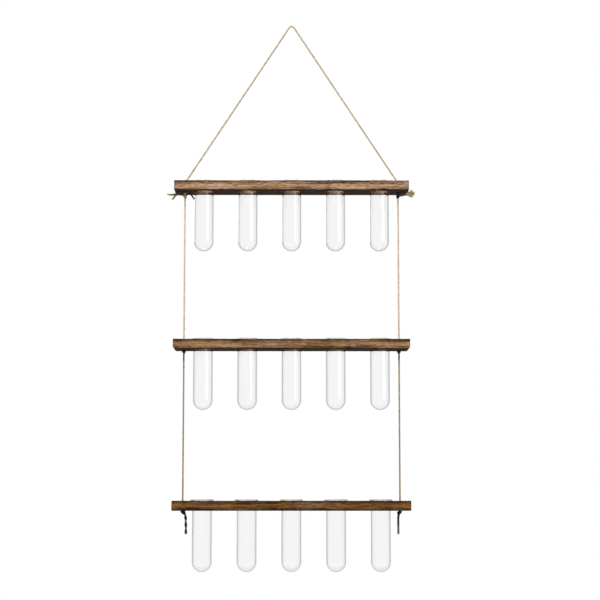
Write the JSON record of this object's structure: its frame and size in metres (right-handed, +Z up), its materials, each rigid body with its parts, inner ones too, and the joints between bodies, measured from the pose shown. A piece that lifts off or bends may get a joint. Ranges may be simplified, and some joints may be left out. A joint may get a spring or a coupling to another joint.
{
  "type": "propagation vase",
  "caption": "Hanging propagation vase: stained wooden shelves on a knotted jute cord, each with a row of lipped glass tubes that hang in drilled holes and lift out.",
  "frame": {"origin": "centre of the nail that the cord hangs on", "axes": "+Z up, +X along the shelves to the right seen from the front, +Y to the wall"},
  "size_m": [0.3402, 0.04, 0.7515],
  "materials": {
    "wood_top": "stained, with darker scorched edges",
    "wood_middle": "stained, with darker scorched edges",
    "wood_bottom": "stained, with darker scorched edges",
    "glass": "clear",
    "jute": "twisted natural fibre",
    "jute_dark": "twisted natural fibre, singed dark at the knots and loose ends"
  },
  "bodies": {
    "hanger": {"hanger_cord": "jute"},
    "top_shelf": {"top_shelf": "wood_top", "top_knot_left": "jute_dark", "top_knot_right": "jute_dark"},
    "upper_cords": {"upper_cord_left": "jute", "upper_cord_right": "jute"},
    "middle_shelf": {"middle_shelf": "wood_middle", "middle_knot_left": "jute_dark", "middle_knot_right": "jute_dark"},
    "lower_cords": {"lower_cord_left": "jute", "lower_cord_right": "jute"},
    "bottom_shelf": {"bottom_shelf": "wood_bottom", "bottom_knot_left": "jute_dark", "bottom_knot_right": "jute_dark", "bottom_tail_left": "jute_dark", "bottom_tail_right": "jute_dark"},
    "top_tube_1": {"top_tube_1": "glass"},
    "top_tube_2": {"top_tube_2": "glass"},
    "top_tube_3": {"top_tube_3": "glass"},
    "top_tube_4": {"top_tube_4": "glass"},
    "top_tube_5": {"top_tube_5": "glass"},
    "middle_tube_1": {"middle_tube_1": "glass"},
    "middle_tube_2": {"middle_tube_2": "glass"},
    "middle_tube_3": {"middle_tube_3": "glass"},
    "middle_tube_4": {"middle_tube_4": "glass"},
    "middle_tube_5": {"middle_tube_5": "glass"},
    "bottom_tube_1": {"bottom_tube_1": "glass"},
    "bottom_tube_2": {"bottom_tube_2": "glass"},
    "bottom_tube_3": {"bottom_tube_3": "glass"},
    "bottom_tube_4": {"bottom_tube_4": "glass"},
    "bottom_tube_5": {"bottom_tube_5": "glass"}
  },
  "joints": [
    {"name": "top_shelf_tilt", "type": "hinge", "parent": "hanger", "child": "top_shelf", "pos_m": [0, 0, -0.218], "axis": [1, 0, 0], "range_deg": [-15, 15]},
    {"name": "upper_cords_swing", "type": "hinge", "parent": "top_shelf", "child": "upper_cords", "pos_m": [0, 0, -0.24155], "axis": [-1, 0, 0], "range_deg": [-20, 20]},
    {"name": "middle_shelf_tilt", "type": "hinge", "parent": "upper_cords", "child": "middle_shelf", "pos_m": [0, 0, -0.435], "axis": [1, 0, 0], "range_deg": [-15, 15]},
    {"name": "lower_cords_swing", "type": "hinge", "parent": "middle_shelf", "child": "lower_cords", "pos_m": [0, 0, -0.45655], "axis": [-1, 0, 0], "range_deg": [-20, 20]},
    {"name": "bottom_shelf_tilt", "type": "hinge", "parent": "lower_cords", "child": "bottom_shelf", "pos_m": [0, 0, -0.652], "axis": [1, 0, 0], "range_deg": [-15, 15]},
    {"name": "top_tube_1_lift", "type": "slide", "parent": "top_shelf", "child": "top_tube_1", "axis": [0, 0, 1], "range_m": [0, 0.011]},
    {"name": "top_tube_2_lift", "type": "slide", "parent": "top_shelf", "child": "top_tube_2", "axis": [0, 0, 1], "range_m": [0, 0.098]},
    {"name": "top_tube_3_lift", "type": "slide", "parent": "top_shelf", "child": "top_tube_3", "axis": [0, 0, 1], "range_m": [0, 0.098]},
    {"name": "top_tube_4_lift", "type": "slide", "parent": "top_shelf", "child": "top_tube_4", "axis": [0, 0, 1], "range_m": [0, 0.098]},
    {"name": "top_tube_5_lift", "type": "slide", "parent": "top_shelf", "child": "top_tube_5", "axis": [0, 0, 1], "range_m": [0, 0.011]},
    {"name": "middle_tube_1_lift", "type": "slide", "parent": "middle_shelf", "child": "middle_tube_1", "axis": [0, 0, 1], "range_m": [0, 0.098]},
    {"name": "middle_tube_2_lift", "type": "slide", "parent": "middle_shelf", "child": "middle_tube_2", "axis": [0, 0, 1], "range_m": [0, 0.098]},
    {"name": "middle_tube_3_lift", "type": "slide", "parent": "middle_shelf", "child": "middle_tube_3", "axis": [0, 0, 1], "range_m": [0, 0.098]},
    {"name": "middle_tube_4_lift", "type": "slide", "parent": "middle_shelf", "child": "middle_tube_4", "axis": [0, 0, 1], "range_m": [0, 0.098]},
    {"name": "middle_tube_5_lift", "type": "slide", "parent": "middle_shelf", "child": "middle_tube_5", "axis": [0, 0, 1], "range_m": [0, 0.098]},
    {"name": "bottom_tube_1_lift", "type": "slide", "parent": "bottom_shelf", "child": "bottom_tube_1", "axis": [0, 0, 1], "range_m": [0, 0.098]},
    {"name": "bottom_tube_2_lift", "type": "slide", "parent": "bottom_shelf", "child": "bottom_tube_2", "axis": [0, 0, 1], "range_m": [0, 0.098]},
    {"name": "bottom_tube_3_lift", "type": "slide", "parent": "bottom_shelf", "child": "bottom_tube_3", "axis": [0, 0, 1], "range_m": [0, 0.098]},
    {"name": "bottom_tube_4_lift", "type": "slide", "parent": "bottom_shelf", "child": "bottom_tube_4", "axis": [0, 0, 1], "range_m": [0, 0.098]},
    {"name": "bottom_tube_5_lift", "type": "slide", "parent": "bottom_shelf", "child": "bottom_tube_5", "axis": [0, 0, 1], "range_m": [0, 0.098]}
  ]
}
